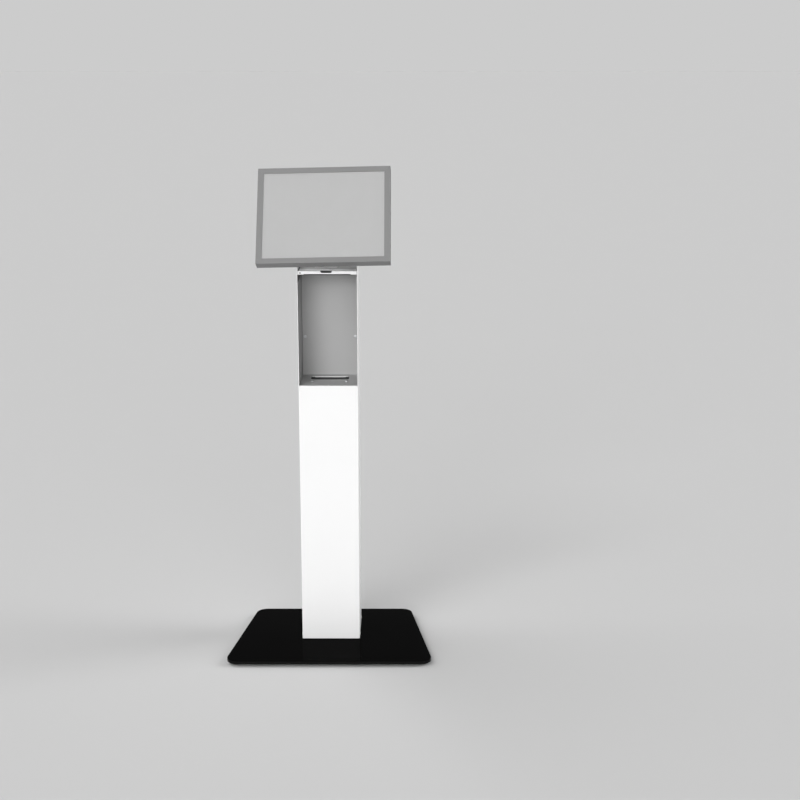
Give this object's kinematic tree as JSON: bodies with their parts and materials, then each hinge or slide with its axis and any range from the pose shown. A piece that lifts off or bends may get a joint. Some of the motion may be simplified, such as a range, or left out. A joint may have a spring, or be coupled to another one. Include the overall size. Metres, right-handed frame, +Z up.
{
  "type": "tablet kiosk stand",
  "caption": "Floor-standing tablet kiosk: weighted plate, folded sheet column with an open niche, and a framed tablet head that tilts and swivels.",
  "frame": {"origin": "on the floor, under the middle of the base plate", "axes": "+Z up along the column, -Y towards the person at the screen, +X to the right as seen from the front"},
  "size_m": [0.4558, 0.315, 1.0883],
  "materials": {
    "black_powder_coat": "smooth satin black powder coat",
    "white_powder_coat": "smooth satin white powder coat",
    "silver_grey_paint": "fine satin silver-grey paint",
    "zinc_steel": "zinc-plated steel",
    "galvanised_sheet": "galvanised sheet",
    "stainless_pin": "turned stainless steel",
    "cast_aluminium": "satin cast aluminium",
    "black_rubber": "matte moulded rubber",
    "black_foam": "closed-cell foam",
    "friction_plastic": "low-wear friction plastic",
    "anodised_aluminium": "fine blasted anodised",
    "battery_film": "wrapped battery film",
    "board_resist": "green solder resist",
    "blank_screen": "evenly lit blank display",
    "cover_glass": "clear glass with a dark printed border"
  },
  "bodies": {
    "stand": {"base_plate": "black_powder_coat", "rubber_feet": "black_rubber", "foot_screws": "zinc_steel", "foot_bracket": "galvanised_sheet", "base_bolts": "zinc_steel", "base_washers": "zinc_steel", "base_nuts": "zinc_steel", "column_shell": "white_powder_coat", "column_foot_screws": "white_powder_coat", "rear_cover": "white_powder_coat", "rear_cover_screws": "zinc_steel", "cable_grommet": "black_rubber", "niche_shelf": "white_powder_coat", "shelf_rail": "galvanised_sheet", "shelf_screws": "zinc_steel", "niche_back_panel": "white_powder_coat", "niche_back_screws": "zinc_steel", "top_plate": "white_powder_coat", "neck_bracket": "white_powder_coat", "neck_bolts": "zinc_steel", "neck_washers": "zinc_steel", "neck_nuts": "zinc_steel", "tilt_pin": "stainless_pin", "tilt_washers": "friction_plastic", "tilt_nut": "zinc_steel"},
    "tilt_arm": {"tilt_block": "cast_aluminium"},
    "head": {"swivel_pin": "stainless_pin", "swivel_washers": "friction_plastic", "swivel_nut": "zinc_steel", "head_bracket": "silver_grey_paint", "vesa_screws": "zinc_steel", "rear_shell": "silver_grey_paint", "head_grommet": "black_rubber", "front_bezel": "silver_grey_paint", "bezel_screws": "silver_grey_paint", "tablet_tray": "galvanised_sheet", "tablet_pads": "black_foam", "tablet_body": "anodised_aluminium", "tablet_battery": "battery_film", "tablet_board": "board_resist", "display_panel": "blank_screen", "cover_glass": "cover_glass"},
    "power_button": {"power_button": "anodised_aluminium"},
    "volume_up_button": {"volume_up_button": "anodised_aluminium"},
    "volume_down_button": {"volume_down_button": "anodised_aluminium"}
  },
  "joints": [
    {"name": "head_tilt", "type": "hinge", "parent": "stand", "child": "tilt_arm", "pos_m": [-0.005, 0.039, 0.9537], "axis": [-1, 0, 0], "range_deg": [0, 31]},
    {"name": "head_swivel", "type": "hinge", "parent": "tilt_arm", "child": "head", "pos_m": [-0.005, 0.02326, 0.96243], "axis": [0, 0.4848, 0.8746], "range_deg": [-4, 10]},
    {"name": "power_press", "type": "slide", "parent": "head", "child": "power_button", "axis": [0, -0.4848, -0.8746], "range_m": [0, 0.0003], "stiffness_N_per_m": 1000, "springref_m": -0.0002},
    {"name": "volume_up_press", "type": "slide", "parent": "head", "child": "volume_up_button", "axis": [-0.9986, 0.0458, -0.0254], "range_m": [0, 0.0003], "stiffness_N_per_m": 1000, "springref_m": -0.0002},
    {"name": "volume_down_press", "type": "slide", "parent": "head", "child": "volume_down_button", "axis": [-0.9986, 0.0458, -0.0254], "range_m": [0, 0.0003], "stiffness_N_per_m": 1000, "springref_m": -0.0002}
  ]
}
